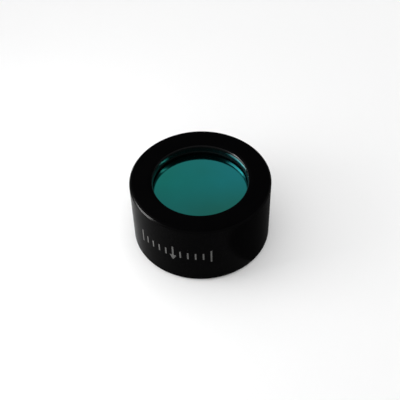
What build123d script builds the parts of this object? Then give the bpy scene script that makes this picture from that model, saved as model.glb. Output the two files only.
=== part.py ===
from build123d import *
import os

# Round bandpass filter: a laminated stack of coated glass in a black turned cup.
# The stack goes in from the rear, seats against the front lip and is held by a slotted ring.
# Millimetres. The rear face lies on z = 0, and the coated front looks up along +z.

# Cup
outer_diameter = 12.5
overall_height = 6.6
side_wall = 0.95  # between the outside and the glass pocket
lip_thickness = 0.8
lip_reach = 0.95  # how far the lip covers the rim of the glass
front_chamfer = 0.25  # outer edge of the front face
mouth_radius = 0.5  # rounded edge of the front bore
rear_chamfer = 0.2  # outer edge of the rear face
seat_groove_width = 0.2  # corner groove that lets the stack seat flat on the lip
seat_groove_depth = 0.1

# Thread for the retaining ring, drawn at its mean radius
thread_step = 0.15  # the thread lies this far outside the pocket, so the glass passes it
thread_relief_width = 0.35
thread_relief_depth = 0.15
lead_in_chamfer = 0.15

# Retaining ring
ring_thickness = 1.0
ring_recess = 0.3  # below the rear face of the cup
ring_clearance = 0.05  # radial, in the thread
ring_chamfer = 0.1
ring_flare = 0.25  # chamfer of the ring's bore, on the side that shows
spanner_slot_width = 0.8
spanner_slot_depth = 0.4

# Laminated stack
bandpass_thickness = 1.1
rear_plate_thickness = 1.0
glass_bevel = 0.12
mask_thickness = 0.1
mask_margin = 0.1  # the masks open this much wider than the lip
seal_thickness = 0.15  # sealant between the glass and the pocket
gasket_thickness = 0.2
gasket_setback = 0.05  # the gaskets lie this far back from the bore, and show as a dark line

# Radii that follow
outer_radius = outer_diameter / 2
pocket_radius = outer_radius - side_wall
glass_radius = pocket_radius - seal_thickness
opening_radius = glass_radius - lip_reach
mask_radius = opening_radius + mask_margin
flat_radius = glass_radius - glass_bevel
thread_radius = pocket_radius + thread_step
relief_radius = thread_radius + thread_relief_depth
ring_radius = thread_radius - ring_clearance

# Heights that follow, from the lip down and from the ring up
lip_seat = overall_height - lip_thickness
stack_top = lip_seat - gasket_thickness
front_mask_top = stack_top - bandpass_thickness
blocking_top = front_mask_top - mask_thickness
ring_top = ring_recess + ring_thickness
stack_bottom = ring_top + gasket_thickness
rear_mask_bottom = stack_bottom + rear_plate_thickness
blocking_bottom = rear_mask_bottom + mask_thickness


def turned(*outline):
    """A turned solid: the closed outline of (radius, height) points swept once round the axis."""
    section = make_face(Plane.XZ * Polyline(*outline, close=True))
    return revolve(section, Axis.Z)


def washer(bore, rim, bottom, thickness):
    """A flat ring with square edges, from the radius of its bore to that of its rim."""
    top = bottom + thickness
    return turned((bore, bottom), (rim, bottom), (rim, top), (bore, top))


def glass_plate(bottom, top):
    """A round plate whose two rims are bevelled."""
    return turned(
        (0, bottom),
        (flat_radius, bottom),
        (glass_radius, bottom + glass_bevel),
        (glass_radius, top - glass_bevel),
        (flat_radius, top),
        (0, top),
    )


def housing():
    """The cup in one section: lip, glass pocket with its corner groove, threaded mouth and its relief."""
    body = turned(
        (thread_radius + lead_in_chamfer, 0),
        (outer_radius - rear_chamfer, 0),
        (outer_radius, rear_chamfer),
        (outer_radius, overall_height - front_chamfer),
        (outer_radius - front_chamfer, overall_height),
        (opening_radius, overall_height),
        (opening_radius, lip_seat),
        (pocket_radius + seat_groove_depth, lip_seat),
        (pocket_radius + seat_groove_depth, lip_seat - seat_groove_width),
        (pocket_radius, lip_seat - seat_groove_width),
        (pocket_radius, stack_bottom),
        (relief_radius, stack_bottom),
        (relief_radius, stack_bottom - thread_relief_width),
        (thread_radius, stack_bottom - thread_relief_width),
        (thread_radius, lead_in_chamfer),
    )
    front_rims = body.edges().filter_by_position(Axis.Z, overall_height, overall_height)
    mouth = front_rims.sort_by(SortBy.RADIUS)[0]
    return fillet(mouth, mouth_radius)


def retaining_ring():
    """The ring behind the stack, with two spanner slots across its rear face."""
    body = turned(
        (opening_radius + ring_flare, ring_recess),
        (ring_radius - ring_chamfer, ring_recess),
        (ring_radius, ring_recess + ring_chamfer),
        (ring_radius, ring_top - ring_chamfer),
        (ring_radius - ring_chamfer, ring_top),
        (opening_radius, ring_top),
        (opening_radius, ring_recess + ring_flare),
    )
    slot = Pos(0, 0, ring_recess) * Box(outer_diameter, spanner_slot_width, 2 * spanner_slot_depth)
    return body - slot


def gasket(bottom):
    """A shim ring on the rim of the stack."""
    return washer(opening_radius + gasket_setback, flat_radius, bottom, gasket_thickness)


def mask(bottom):
    """A thin black annulus that stops light outside the clear opening."""
    return washer(mask_radius, flat_radius, bottom, mask_thickness)


def cement(bottom):
    """The clear cemented layer that fills the opening of a mask."""
    top = bottom + mask_thickness
    return turned((0, bottom), (mask_radius, bottom), (mask_radius, top), (0, top))


pieces = {
    "housing": housing(),
    "front_gasket": gasket(stack_top),
    "bandpass_plate": glass_plate(front_mask_top, stack_top),
    "front_mask": mask(blocking_top),
    "front_cement": cement(blocking_top),
    "blocking_glass": glass_plate(blocking_bottom, blocking_top),
    "rear_mask": mask(rear_mask_bottom),
    "rear_cement": cement(rear_mask_bottom),
    "rear_plate": glass_plate(stack_bottom, rear_mask_bottom),
    "edge_seal": washer(glass_radius, pocket_radius, stack_bottom, stack_top - stack_bottom),
    "rear_gasket": gasket(ring_top),
    "retaining_ring": retaining_ring(),
}

os.makedirs("parts", exist_ok=True)
for name, piece in pieces.items():
    export_step(piece, f"parts/{name}.step")
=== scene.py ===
import math

import bmesh
import bpy
from mathutils import Matrix, Vector


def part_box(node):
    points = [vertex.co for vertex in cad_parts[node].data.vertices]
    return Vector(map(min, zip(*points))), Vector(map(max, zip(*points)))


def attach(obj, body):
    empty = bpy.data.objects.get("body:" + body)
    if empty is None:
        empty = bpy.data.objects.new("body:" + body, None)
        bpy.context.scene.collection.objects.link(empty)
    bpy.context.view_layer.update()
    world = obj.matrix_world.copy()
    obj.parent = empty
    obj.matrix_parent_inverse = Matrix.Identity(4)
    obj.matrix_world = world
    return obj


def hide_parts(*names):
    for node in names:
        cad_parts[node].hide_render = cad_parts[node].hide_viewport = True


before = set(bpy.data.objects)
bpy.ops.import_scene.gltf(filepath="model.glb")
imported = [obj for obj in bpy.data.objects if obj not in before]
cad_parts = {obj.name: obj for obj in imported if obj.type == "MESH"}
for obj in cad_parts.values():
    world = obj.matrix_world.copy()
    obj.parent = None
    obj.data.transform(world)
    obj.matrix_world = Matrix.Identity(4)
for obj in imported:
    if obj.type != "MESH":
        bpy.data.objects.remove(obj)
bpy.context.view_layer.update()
print("frame loaded:", len(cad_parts), "nodes")

mm = 0.001


def turnedSizes(node):  # radii and heights of a turned CAD piece, read from its own mesh
    low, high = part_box(node)
    reach = [math.hypot(v.co.x, v.co.y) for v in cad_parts[node].data.vertices]
    return {"inner": min(reach), "outer": max(reach), "bottom": low.z, "top": high.z}


cup = turnedSizes("housing")
seal = turnedSizes("edge_seal")
ring = turnedSizes("retaining_ring")
frontGasket = turnedSizes("front_gasket")
frontPlate = turnedSizes("bandpass_plate")
rearPlate = turnedSizes("rear_plate")


# camera as the photo has it, from a fit to the object's outline
shot = {
    "elevation": 47.58,  # degrees
    "distance": 70.7 * mm,  # from the middle of the object
    "frame": 400,  # pixels across the photo
    "focal": 778.7,  # in pixels of the photo
    "sensor": 36.0,
    "middleOffset": (0.84, 2.97),  # of the object from the photo's centre, in pixels right and down
    "roll": 1.71,  # degrees
    "clip": (1 * mm, 10.0),
}


def placeCamera():
    data = bpy.data.cameras.new("photoCamera")
    data.sensor_width = shot["sensor"]
    data.lens = shot["focal"] / shot["frame"] * shot["sensor"]
    data.clip_start, data.clip_end = shot["clip"]
    camera = bpy.data.objects.new("photoCamera", data)
    bpy.context.scene.collection.objects.link(camera)
    tilt = math.radians(shot["elevation"])
    back = Vector((0, -math.cos(tilt), math.sin(tilt)))
    middle = Vector((0, 0, cup["top"] / 2))
    right, down = shot["middleOffset"]
    turnLeft = Matrix.Rotation(math.atan(right / shot["focal"]), 4, "Y")
    turnUp = Matrix.Rotation(math.atan(down / shot["focal"]), 4, "X")
    lean = Matrix.Rotation(-math.radians(shot["roll"]), 4, "Z")
    aim = (-back).to_track_quat("-Z", "Y").to_matrix().to_4x4()
    place = Matrix.Translation(middle + back * shot["distance"])
    camera.matrix_world = place @ aim @ turnLeft @ turnUp @ lean
    bpy.context.scene.camera = camera
    print("camera placed")


# node helpers
def newMaterial(name):
    material = bpy.data.materials.new(name)
    material.use_nodes = True
    tree = material.node_tree
    return material, tree, tree.nodes["Principled BSDF"]


def addNode(tree, kind, **settings):
    node = tree.nodes.new(kind)
    for key, value in settings.items():
        setattr(node, key, value)
    return node


def feed(tree, source, target):
    tree.links.new(source, target)


def objectInMm(tree):  # object coordinates, in millimetres
    coords = addNode(tree, "ShaderNodeTexCoord")
    scale = addNode(tree, "ShaderNodeVectorMath", operation="SCALE")
    scale.inputs["Scale"].default_value = 1 / mm
    feed(tree, coords.outputs["Object"], scale.inputs[0])
    return scale.outputs["Vector"]


def partOf(tree, place, axis):
    parts = addNode(tree, "ShaderNodeSeparateXYZ")
    feed(tree, place, parts.inputs[0])
    return parts.outputs[axis]


def axisDistance(tree, place):  # distance from the optical axis
    flat = addNode(tree, "ShaderNodeVectorMath", operation="MULTIPLY")
    flat.inputs[1].default_value = (1, 1, 0)
    feed(tree, place, flat.inputs[0])
    length = addNode(tree, "ShaderNodeVectorMath", operation="LENGTH")
    feed(tree, flat.outputs["Vector"], length.inputs[0])
    return length.outputs["Value"]


noiseSpan = (0.3, 0.7)  # where nearly all of a noise lies


def noise(tree, place, look):  # look is the size of the blotches, in millimetres, and their detail
    size, detail = look
    texture = addNode(tree, "ShaderNodeTexNoise")
    texture.inputs["Scale"].default_value = 1 / size
    texture.inputs["Detail"].default_value = detail
    feed(tree, place, texture.inputs["Vector"])
    return texture.outputs["Fac"]


def lineNoise(tree, value, look):  # the same along one direction only
    size, detail = look
    texture = addNode(tree, "ShaderNodeTexNoise", noise_dimensions="1D")
    texture.inputs["Scale"].default_value = 1 / size
    texture.inputs["Detail"].default_value = detail
    feed(tree, value, texture.inputs["W"])
    return texture.outputs["Fac"]


def spread(tree, value, low, high, fromLow=0.0, fromHigh=1.0):
    mapped = addNode(tree, "ShaderNodeMapRange")
    mapped.inputs["From Min"].default_value = fromLow
    mapped.inputs["From Max"].default_value = fromHigh
    mapped.inputs["To Min"].default_value = low
    mapped.inputs["To Max"].default_value = high
    feed(tree, value, mapped.inputs["Value"])
    return mapped.outputs["Result"]


def combine(tree, operation, first, second):
    maths = addNode(tree, "ShaderNodeMath", operation=operation)
    feed(tree, first, maths.inputs[0])
    feed(tree, second, maths.inputs[1])
    return maths.outputs[0]


def blendColours(tree, value, first, second):  # each end is a colour or another blend's socket
    mix = addNode(tree, "ShaderNodeMix", data_type="RGBA")
    ends = [socket for socket in mix.inputs if socket.type == "RGBA"]
    for socket, end in zip(ends, (first, second)):
        if isinstance(end, tuple):
            socket.default_value = (*end, 1)
        else:
            feed(tree, end, socket)
    feed(tree, value, mix.inputs["Factor"])
    return next(socket for socket in mix.outputs if socket.type == "RGBA")


def varyRoughness(tree, shader, value, look):
    feed(tree, spread(tree, value, *look["roughness"], *noiseSpan), shader.inputs["Roughness"])


def addBump(tree, shader, height, depth):
    bump = addNode(tree, "ShaderNodeBump")
    bump.inputs["Distance"].default_value = depth
    feed(tree, height, bump.inputs["Height"])
    feed(tree, bump.outputs["Normal"], shader.inputs["Normal"])


# black anodised aluminium as lit and shaded copies of one finish, one for each kind of turned surface:
# their tones and gloss are painted sheen and painted shade, set so that highlights fall only where
# wanted; sizes of noise in millimetres
anodise = {
    "wall": {"tones": (0.0006, 0.0012), "roughness": (0.21, 0.25), "ior": 1.05, "lines": 0.09},
    # the face copy is dull, with a lighter tone painted in place of its sheen
    "face": {"tones": (0.0010, 0.0016), "roughness": (0.30, 0.36), "ior": 1.01, "lines": 0.07},
    "bore": {"tones": (0.0006, 0.0012), "roughness": (0.20, 0.25), "ior": 1.17, "lines": 0.06},
    "edge": {"tones": (0.0006, 0.0014), "roughness": (0.16, 0.20), "ior": 1.07, "lines": 0.05},
    # the rear copy is painted lighter and glossier, so that the pieces at the back, lying in shade,
    # still show
    "rear": {"tones": (0.0040, 0.0065), "roughness": (0.26, 0.34), "ior": 1.30, "lines": 0.07},
    "tints": ((1.0, 0.97, 1.12), (1.02, 0.98, 1.08)),  # of the dark and the light clouds
    "cloud": (1.7, 4),  # of the colour
    "patch": (0.6, 3),  # of the roughness
    "lineDetail": 3,  # of the tooling lines
    "lineDepth": 0.0004 * mm,
}


def anodised(kind):
    look = anodise[kind]
    material, tree, shader = newMaterial("anodised_" + kind)
    place = objectInMm(tree)
    across = axisDistance(tree, place) if kind == "face" else partOf(tree, place, "Z")
    tinted = zip(look["tones"], anodise["tints"])
    dark, light = [tuple(tone * c for c in tint) for tone, tint in tinted]
    clouds = noise(tree, place, anodise["cloud"])
    feed(tree, blendColours(tree, clouds, dark, light), shader.inputs["Base Color"])
    varyRoughness(tree, shader, noise(tree, place, anodise["patch"]), look)
    shader.inputs["IOR"].default_value = look["ior"]
    lines = lineNoise(tree, across, (look["lines"], anodise["lineDetail"]))
    addBump(tree, shader, lines, anodise["lineDepth"])
    return material


# the mirror-like coating of the front glass, greyer at the near side and bluer at the back right
coating = {
    "backLeft": (0.0075, 0.133, 0.114),
    "backRight": (0.0095, 0.141, 0.150),
    "nearLeft": (0.0105, 0.100, 0.094),
    "nearRight": (0.0125, 0.099, 0.079),
    "rightwards": (-3.2, 3.2),  # where the drift starts and ends, in millimetres
    "backwards": (-3.4, 0.6),
    "waver": 0.12,
    "waverNoise": (3.0, 2),
    "roughness": (0.045, 0.09),
    "smear": (1.1, 5),
}


def coatedGlass():
    material, tree, shader = newMaterial("coated_glass_front")
    place = objectInMm(tree)
    wavering = noise(tree, place, coating["waverNoise"])
    waver = spread(tree, wavering, -coating["waver"], coating["waver"], *noiseSpan)
    drift = {}
    for name, axis in (("rightwards", "X"), ("backwards", "Y")):
        plain = spread(tree, partOf(tree, place, axis), 0, 1, *coating[name])
        drift[name] = combine(tree, "ADD", plain, waver)
    back = blendColours(tree, drift["rightwards"], coating["backLeft"], coating["backRight"])
    near = blendColours(tree, drift["rightwards"], coating["nearLeft"], coating["nearRight"])
    feed(tree, blendColours(tree, drift["backwards"], near, back), shader.inputs["Base Color"])
    varyRoughness(tree, shader, noise(tree, place, coating["smear"]), coating)
    shader.inputs["Metallic"].default_value = 1.0
    return material


# the darker coating on the rear glass
rearLook = {
    "violet": (0.045, 0.022, 0.115),
    "blue": (0.028, 0.030, 0.150),
    "drift": (3.5, 2),
    "roughness": (0.04, 0.10),
    "smear": (1.1, 5),
}


def rearCoating():
    material, tree, shader = newMaterial("coated_glass_rear")
    place = objectInMm(tree)
    drift = noise(tree, place, rearLook["drift"])
    colour = blendColours(tree, drift, rearLook["violet"], rearLook["blue"])
    feed(tree, colour, shader.inputs["Base Color"])
    varyRoughness(tree, shader, noise(tree, place, rearLook["smear"]), rearLook)
    shader.inputs["Metallic"].default_value = 1.0
    return material


# matt finishes with a fine grain
matts = {
    "ground_glass": {
        "dark": (0.25, 0.30, 0.29), "light": (0.42, 0.47, 0.46),
        "grain": 0.05, "depth": 0.002 * mm, "roughness": (0.55, 0.65), "ior": 1.5,
    },
    "etched_mark": {
        "dark": (0.045, 0.045, 0.045), "light": (0.100, 0.099, 0.094),
        "grain": 0.03, "depth": 0.001 * mm, "roughness": (0.54, 0.66), "ior": 1.3,
    },
    "black_shim": {
        "dark": (0.004, 0.004, 0.004), "light": (0.008, 0.008, 0.008),
        "grain": 0.05, "depth": 0.002 * mm, "roughness": (0.74, 0.86), "ior": 1.02,
    },
    "mask_foil": {
        "dark": (0.003, 0.003, 0.003), "light": (0.006, 0.006, 0.006),
        "grain": 0.04, "depth": 0.001 * mm, "roughness": (0.64, 0.76), "ior": 1.1,
    },
    "black_sealant": {
        "dark": (0.006, 0.006, 0.006), "light": (0.012, 0.012, 0.012),
        "grain": 0.08, "depth": 0.004 * mm, "roughness": (0.44, 0.56), "ior": 1.2,
    },
}
grainNoise = {"cloud": (4, 4), "patch": (2, 2), "bump": (1, 3)}  # size in grains, and detail


def grainyMatt(name):
    look = matts[name]
    material, tree, shader = newMaterial(name)
    place = objectInMm(tree)
    cloud, patch, bump = [
        noise(tree, place, (look["grain"] * size, detail)) for size, detail in grainNoise.values()
    ]
    feed(tree, blendColours(tree, cloud, look["dark"], look["light"]), shader.inputs["Base Color"])
    varyRoughness(tree, shader, patch, look)
    shader.inputs["IOR"].default_value = look["ior"]
    addBump(tree, shader, bump, look["depth"])
    return material


# clear layers, cemented and seen only where the plates leave them free
clearLayers = {
    "optical_cement": {"tint": (0.92, 0.92, 0.88), "roughness": 0.02, "ior": 1.52},
    "absorbing_glass": {"tint": (0.06, 0.16, 0.62), "roughness": 0.01, "ior": 1.52},
    "shade": 0.85,  # of the tint, in the darker clouds
    "cloud": (2.0, 3),
}


def clearLayer(name):
    look = clearLayers[name]
    material, tree, shader = newMaterial(name)
    shade = tuple(c * clearLayers["shade"] for c in look["tint"])
    clouds = noise(tree, objectInMm(tree), clearLayers["cloud"])
    feed(tree, blendColours(tree, clouds, shade, look["tint"]), shader.inputs["Base Color"])
    shader.inputs["Roughness"].default_value = look["roughness"]
    shader.inputs["Transmission Weight"].default_value = 1.0
    shader.inputs["IOR"].default_value = look["ior"]
    return material


# turned shapes
turning = {"segments": 288, "roundSteps": 3, "sharpFrom": 25}  # edges of 25 degrees and more are rounded


def onCircle(radius, angle, height):
    return radius * math.cos(angle), radius * math.sin(angle), height


def turnedMesh(name, outline, materials):
    # outline holds (radius, height, finish of the band that starts there)
    # it closes on itself, or on the axis where its ends have no radius
    steps = turning["segments"]
    names = list(materials)
    shape = bmesh.new()
    rings = []
    for radius, height, _ in outline:
        if radius == 0:
            rings.append([shape.verts.new((0, 0, height))])
            continue
        angles = [2 * math.pi * k / steps for k in range(steps)]
        rings.append([shape.verts.new(onCircle(radius, angle, height)) for angle in angles])
    for i, (this, following) in enumerate(zip(rings, rings[1:] + rings[:1])):
        if len(this) == 1 and len(following) == 1:
            continue
        for k in range(steps):
            n = (k + 1) % steps
            pairs = [(this, k), (this, n), (following, n), (following, k)]
            corners = [loop[j % len(loop)] for loop, j in pairs]
            face = shape.faces.new(list(dict.fromkeys(corners)))
            face.material_index = names.index(outline[i][2])
            face.smooth = True
    bmesh.ops.recalc_face_normals(shape, faces=shape.faces)
    return meshFrom(shape, name, materials.values())


def meshFrom(shape, name, materials):
    mesh = bpy.data.meshes.new(name)
    shape.to_mesh(mesh)
    shape.free()
    for material in materials:
        mesh.materials.append(material)
    return mesh


def addObject(name, mesh):
    thing = bpy.data.objects.new(name, mesh)
    bpy.context.scene.collection.objects.link(thing)
    return thing


def addPiece(name, mesh, slot, *nodes):
    piece = addObject(name, mesh)
    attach(piece, "root")
    if nodes:
        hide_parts(*nodes)
    return piece


def softenEdges(piece, width):
    bevel = piece.modifiers.new("edgeRound", "BEVEL")
    bevel.width = width
    bevel.segments = turning["roundSteps"]
    bevel.limit_method = "ANGLE"
    bevel.angle_limit = math.radians(turning["sharpFrom"])
    piece.modifiers.new("evenNormals", "WEIGHTED_NORMAL")  # flat faces stay flat up to the rounding
    bakeModifiers(piece)


def bakeModifiers(piece):
    graph = bpy.context.evaluated_depsgraph_get()
    finished = bpy.data.meshes.new_from_object(piece.evaluated_get(graph))
    piece.modifiers.clear()
    piece.data = finished


# the thread between the cup and its retaining ring
thread = {
    "pitch": 0.35 * mm,
    "depth": 0.19 * mm,
    "crest": 0.05 * mm,  # width of a ridge at its tip
    "root": 0.30 * mm,  # and where it leaves the wall
    "gap": 0.05 * mm,  # between the CAD's two plain walls, which lie at the mean radius
    "sunk": 0.02 * mm,  # how far a ridge reaches into the wall
    "ringPhase": 0.5,  # of a pitch, so that the ring's ridge lies between the cup's
    "stepsPerTurn": 144,
    "runOut": 0.25,  # of a turn, over which a ridge grows from nothing
}


def ridgePiece(name, root, crest, bottom, top, phase, material):
    # a ridge of trapezoid section from bottom to top; phase is how many pitches it lies above the cup's
    steps = thread["stepsPerTurn"]
    first = round((bottom / thread["pitch"] - phase) * steps)
    last = round((top / thread["pitch"] - phase) * steps)
    foot = root + math.copysign(thread["sunk"], root - crest)
    footHalf, tipHalf = thread["root"] / 2, thread["crest"] / 2
    shape = bmesh.new()
    sections = []
    for k in range(first, last + 1):
        angle = 2 * math.pi * k / steps
        height = (k / steps + phase) * thread["pitch"]
        grown = min(k - first, last - k) / steps / thread["runOut"]
        tip = root + (crest - root) * min(1, grown)
        points = [(foot, -footHalf), (tip, -tipHalf), (tip, tipHalf), (foot, footHalf)]
        sections.append([shape.verts.new(onCircle(r, angle, height + z)) for r, z in points])
    joinSections(shape, sections)
    addPiece(name, meshFrom(shape, name, [material]), "black_anodised")


def joinSections(shape, sections):  # a solid strip through sections of as many corners each
    corners = len(sections[0])
    for this, following in zip(sections, sections[1:]):
        for j in range(corners):
            n = (j + 1) % corners
            shape.faces.new((this[j], this[n], following[n], following[j]))
    shape.faces.new(sections[0])
    shape.faces.new(sections[-1][::-1])
    bmesh.ops.recalc_face_normals(shape, faces=shape.faces)


# the cup: lip, pocket with its corner groove, threaded mouth with its relief
cupEdges = {
    "front": 0.25 * mm,
    "frontSheen": 0.5,  # share of that chamfer, next to the wall, that takes the glossier edge finish: painted sheen, placed where the lamp's highlight should fall
    "mouth": 0.5 * mm,  # radius of the rounded edge of the front bore
    "mouthSteps": 12,
    "mouthDull": 7,  # of those steps, from the face down, before the sheen of the bore starts
    "rear": 0.2 * mm,
    "leadIn": 0.055 * mm,
    "grooveWidth": 0.2 * mm,
    "grooveDepth": 0.1 * mm,
    "reliefWidth": 0.35 * mm,
    "reliefDepth": 0.15 * mm,
    "round": 0.025 * mm,
}
threadMean = ring["outer"] + thread["gap"]
threadRoot = threadMean + thread["depth"] / 2


def mouthOutline(opening, top):  # from the front face round to the wall of the bore
    radius, steps = cupEdges["mouth"], cupEdges["mouthSteps"]
    outline = []
    for k in range(steps):
        turn = math.pi / 2 * k / steps
        out, down = radius * (1 - math.sin(turn)), radius * (1 - math.cos(turn))
        finish = "face" if k < cupEdges["mouthDull"] else "bore"
        outline.append((opening + out, top - down, finish))
    return outline


def buildCup(finishes):
    outer, opening, top = cup["outer"], cup["inner"], cup["top"]
    pocket, pocketEnd, seat = seal["outer"], seal["bottom"], frontGasket["top"]
    front, sheen = cupEdges["front"], cupEdges["front"] * cupEdges["frontSheen"]
    groove, grooveEnd = pocket + cupEdges["grooveDepth"], seat - cupEdges["grooveWidth"]
    relief, reliefEnd = threadMean + cupEdges["reliefDepth"], pocketEnd - cupEdges["reliefWidth"]
    outline = [
        (threadRoot + cupEdges["leadIn"], 0, "rear"),
        (outer - cupEdges["rear"], 0, "edge"),
        (outer, cupEdges["rear"], "wall"),
        (outer, top - front, "edge"),
        (outer - sheen, top - front + sheen, "face"),
        (outer - front, top, "face"),
        *mouthOutline(opening, top),
        (opening, top - cupEdges["mouth"], "bore"),
        (opening, seat, "face"),
        (groove, seat, "face"),
        (groove, grooveEnd, "face"),
        (pocket, grooveEnd, "face"),
        (pocket, pocketEnd, "rear"),
        (relief, pocketEnd, "rear"),
        (relief, reliefEnd, "rear"),
        (threadRoot, reliefEnd, "rear"),
        (threadRoot, cupEdges["leadIn"], "rear"),
    ]
    mesh = turnedMesh("cup_turned", outline, finishes)
    piece = addPiece("cup_turned", mesh, "black_anodised", "housing")
    softenEdges(piece, cupEdges["round"])
    print("cup turned")


def buildCupThread(finish):
    bottom = thread["root"] / 2 + cupEdges["leadIn"]
    top = seal["bottom"] - cupEdges["reliefWidth"] - thread["root"] / 2
    crest = threadRoot - thread["depth"]
    ridgePiece("cup_thread", threadRoot, crest, bottom, top, 0, finish)
    print("cup threaded")


# the coated plates at both ends of the laminated stack
plateEdges = {"bevel": 0.12 * mm, "round": 0.01 * mm}


def buildPlate(name, size, coatedUp, coat, ground, slot, node):
    bevel = plateEdges["bevel"]
    radius, bottom, top = size["outer"], size["bottom"], size["top"]
    lowFinish, highFinish = ("ground", "coat") if coatedUp else ("coat", "ground")
    outline = [
        (0, bottom, lowFinish),
        (radius - bevel, bottom, "ground"),
        (radius, bottom + bevel, "ground"),
        (radius, top - bevel, "ground"),
        (radius - bevel, top, highFinish),
        (0, top, highFinish),
    ]
    piece = addPiece(name, turnedMesh(name, outline, {"coat": coat, "ground": ground}), slot, node)
    softenEdges(piece, plateEdges["round"])
    print(name.replace("_", " "), "placed")


# the retaining ring
ringEdges = {
    "chamfer": 0.1 * mm,
    "flare": 0.25 * mm,
    "slotWidth": 0.8 * mm,
    "slotDepth": 0.4 * mm,
    "round": 0.02 * mm,
}
ringCore = ring["outer"] - thread["depth"] / 2


def cutSlots(piece):  # one cutter right across makes both spanner slots
    size = 2 * cup["outer"], ringEdges["slotWidth"], 2 * ringEdges["slotDepth"]
    place = Matrix.Translation((0, 0, ring["bottom"])) @ Matrix.Diagonal((*size, 1))
    shape = bmesh.new()
    bmesh.ops.create_cube(shape, size=1, matrix=place)
    cutter = addObject("slotCutter", meshFrom(shape, "slotCutter", []))
    cut = piece.modifiers.new("slots", "BOOLEAN")
    cut.operation = "DIFFERENCE"
    cut.solver = "EXACT"
    cut.object = cutter
    bakeModifiers(piece)
    bpy.data.objects.remove(cutter)


def buildRing(finish):
    opening, low, high = ring["inner"], ring["bottom"], ring["top"]
    chamfer, flare = ringEdges["chamfer"], ringEdges["flare"]
    outline = [
        (opening + flare, low, "rear"),
        (ringCore - chamfer, low, "rear"),
        (ringCore, low + chamfer, "rear"),
        (ringCore, high - chamfer, "rear"),
        (ringCore - chamfer, high, "rear"),
        (opening, high, "rear"),
        (opening, low + flare, "rear"),
    ]
    mesh = turnedMesh("ring_turned", outline, {"rear": finish})
    piece = addPiece("ring_turned", mesh, "black_anodised", "retaining_ring")
    cutSlots(piece)
    softenEdges(piece, ringEdges["round"])
    bottom = low + chamfer + thread["root"] / 2
    top = high - chamfer - thread["root"] / 2
    crest, phase = ringCore + thread["depth"], thread["ringPhase"]
    ridgePiece("ring_thread", ringCore, crest, bottom, top, phase, finish)
    print("retaining ring cut and threaded")


# generic marks on the side: an arrow along the light's path, in the middle of a row of ticks
marks = {
    "middle": 246.0,  # degrees round the side, 270 faces the camera
    "height": 3.3 * mm,
    "tickPitch": 6.2,  # degrees
    "ticksEachSide": 5,
    "tickLength": 0.8 * mm,
    "endTickLength": 1.45 * mm,
    "stroke": 0.14 * mm,
    "arrowLength": 1.7 * mm,
    "headWidth": 0.62 * mm,
    "headLength": 0.6 * mm,
    "headColumns": 3,  # on each side of the shaft
    "blunt": 0.02,  # of the head's length left at its corners
    "flank": 1.03,  # of the shaft's width, where its sides meet the head
    "proud": 0.003 * mm,
    "sunk": 0.02 * mm,  # how far a mark reaches into the wall
}


def addMark(shape, columns):
    # columns holds (angle, low, high) across the mark, wrapped round the side wall
    inner, outer = cup["outer"] - marks["sunk"], cup["outer"] + marks["proud"]
    sections = []
    for angle, low, high in columns:
        points = [(inner, low), (outer, low), (outer, high), (inner, high)]
        sections.append([shape.verts.new(onCircle(r, angle, z)) for r, z in points])
    joinSections(shape, sections)


def addStroke(shape, angle, low, high):
    half = marks["stroke"] / 2 / cup["outer"]
    addMark(shape, [(angle + half * side, low, high) for side in (-1, 0, 1)])


def buildMarks(material):
    middle, height = math.radians(marks["middle"]), marks["height"]
    shape = bmesh.new()
    for side in (-1, 1):
        for k in range(1, marks["ticksEachSide"] + 1):
            length = marks["endTickLength"] if k == marks["ticksEachSide"] else marks["tickLength"]
            angle = middle + side * math.radians(marks["tickPitch"]) * k
            addStroke(shape, angle, height - length / 2, height + length / 2)
    tip = height - marks["arrowLength"] / 2
    tail, shoulder = tip + marks["arrowLength"], tip + marks["headLength"]
    reach, half = [marks[width] / 2 / cup["outer"] for width in ("headWidth", "stroke")]
    wing = [reach * (1 - k / marks["headColumns"]) for k in range(marks["headColumns"])]
    side = [*wing, half * marks["flank"], half]
    slope = marks["headLength"] * (1 - marks["blunt"]) / reach
    offsets = [-offset for offset in side] + [0] + side[::-1]
    highs = [tail if abs(offset) <= half else shoulder for offset in offsets]
    addMark(shape, [(middle + o, tip + slope * abs(o), high) for o, high in zip(offsets, highs)])
    addPiece("side_marks", meshFrom(shape, "side_marks", [material]), None)
    print("side marks laid")


# studio: an even white surround, a pale floor, a low lamp for the shadow and softboxes for the gloss
surround = 0.94  # what matt surfaces get from it; the camera and the gloss see it at 1
cards = {
    "pale_floor": {  # just below the rear face, so that the two don't lie in one plane
        "size": (2.4, 2.4), "middle": (0, 0, -0.002 * mm),
        "colour": (0.97, 0.97, 0.97), "roughness": 0.9, "seenBy": "all",
    },
    "reflected_shade_sheet": {  # a dark sheet beside the object, seen only in the gloss: painted shade that keeps the right end of its wall black
        "size": (21.4 * mm, 24 * mm), "middle": (15.3 * mm, 3 * mm, 0.05 * mm),
        "colour": (0.18, 0.18, 0.18), "roughness": 0.9, "seenBy": "gloss",
    },
}
softboxes = {
    "lowLamp": {
        "azimuth": 190, "elevation": 32, "distance": 32 * mm, "size": (18 * mm, 18 * mm),
        "radiance": 4.0, "seenBy": "matt",
    },
    "leftSoftbox": {
        "azimuth": 173, "elevation": 29, "distance": 400 * mm, "size": (300 * mm, 240 * mm),
        "radiance": 115.0, "seenBy": "gloss",
    },
    "rightStrip": {
        "azimuth": 8, "elevation": 40, "distance": 400 * mm, "size": (50 * mm, 160 * mm),
        "radiance": 95.0, "seenBy": "gloss",
    },
}


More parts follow.
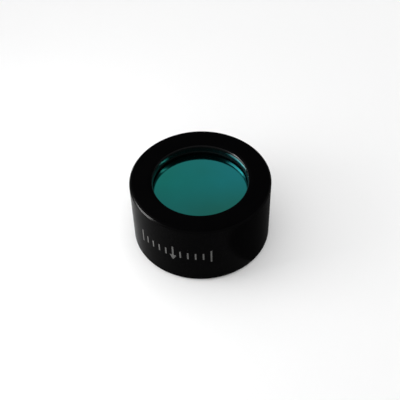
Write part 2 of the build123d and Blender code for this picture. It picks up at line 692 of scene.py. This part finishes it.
def layCard(name, card):  # a plain matt sheet, facing up
    width, depth = card["size"]
    shape = bmesh.new()
    size = Matrix.Diagonal((width / 2, depth / 2, 1, 1))
    bmesh.ops.create_grid(shape, x_segments=1, y_segments=1, size=1, matrix=size)
    material, _, shader = newMaterial(name)
    shader.inputs["Base Color"].default_value = (*card["colour"], 1)
    shader.inputs["Roughness"].default_value = card["roughness"]
    shader.inputs["Specular IOR Level"].default_value = 0
    sheet = addObject(name, meshFrom(shape, name, [material]))
    sheet.location = card["middle"]
    # a sheet seen only in the gloss paints shade into the reflections
    if card["seenBy"] == "gloss":
        sheet.visible_camera = sheet.visible_diffuse = sheet.visible_shadow = False


def addSoftbox(name, box):
    data = bpy.data.lights.new(name, "AREA")
    data.shape = "RECTANGLE"
    data.size, data.size_y = box["size"]
    data.energy = box["radiance"] * math.pi * data.size * data.size_y
    lamp = addObject(name, data)
    azimuth, elevation = math.radians(box["azimuth"]), math.radians(box["elevation"])
    flat = math.cos(elevation)
    away = Vector((math.cos(azimuth) * flat, math.sin(azimuth) * flat, math.sin(elevation)))
    lamp.location = away * box["distance"]
    lamp.rotation_mode = "QUATERNION"
    lamp.rotation_quaternion = away.to_track_quat("Z", "Y")
    lamp.visible_camera = False
    lamp.visible_diffuse = box["seenBy"] == "matt"
    lamp.visible_glossy = box["seenBy"] == "gloss"


def lightStudio():
    world = bpy.data.worlds.new("studio")
    bpy.context.scene.world = world
    world.use_nodes = True
    tree = world.node_tree
    tree.nodes.clear()
    path = addNode(tree, "ShaderNodeLightPath")
    seen = combine(tree, "MAXIMUM", path.outputs["Is Camera Ray"], path.outputs["Is Glossy Ray"])
    seen = combine(tree, "MAXIMUM", seen, path.outputs["Is Transmission Ray"])
    light = addNode(tree, "ShaderNodeBackground")
    light.inputs["Color"].default_value = (1, 1, 1, 1)
    feed(tree, spread(tree, seen, surround, 1), light.inputs["Strength"])
    output = addNode(tree, "ShaderNodeOutputWorld")
    feed(tree, light.outputs[0], output.inputs["Surface"])
    for name, box in softboxes.items():
        addSoftbox(name, box)
    bpy.context.scene.view_settings.view_transform = "Standard"
    print("studio lit")


placeCamera()
finishes = {kind: anodised(kind) for kind in ("wall", "face", "bore", "edge", "rear")}
buildCup(finishes)
buildCupThread(finishes["rear"])
buildRing(finishes["rear"])

ground = grainyMatt("ground_glass")
front, rear = coatedGlass(), rearCoating()
buildPlate("front_plate_coated", frontPlate, True, front, ground, "coated_glass", "bandpass_plate")
buildPlate("rear_plate_coated", rearPlate, False, rear, ground, "rear_glass", "rear_plate")
buildMarks(grainyMatt("etched_mark"))

# finishes of the pieces that keep their CAD shape
keptShapes = {
    grainyMatt("black_shim"): ("front_gasket", "rear_gasket"),
    grainyMatt("mask_foil"): ("front_mask", "rear_mask"),
    grainyMatt("black_sealant"): ("edge_seal",),
    clearLayer("optical_cement"): ("front_cement", "rear_cement"),
    clearLayer("absorbing_glass"): ("blocking_glass",),
}
for material, nodes in keptShapes.items():
    for node in nodes:
        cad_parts[node].data.materials.clear()
        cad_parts[node].data.materials.append(material)
print("inner pieces finished")

for name, card in cards.items():
    layCard(name, card)
print("floor laid")
lightStudio()
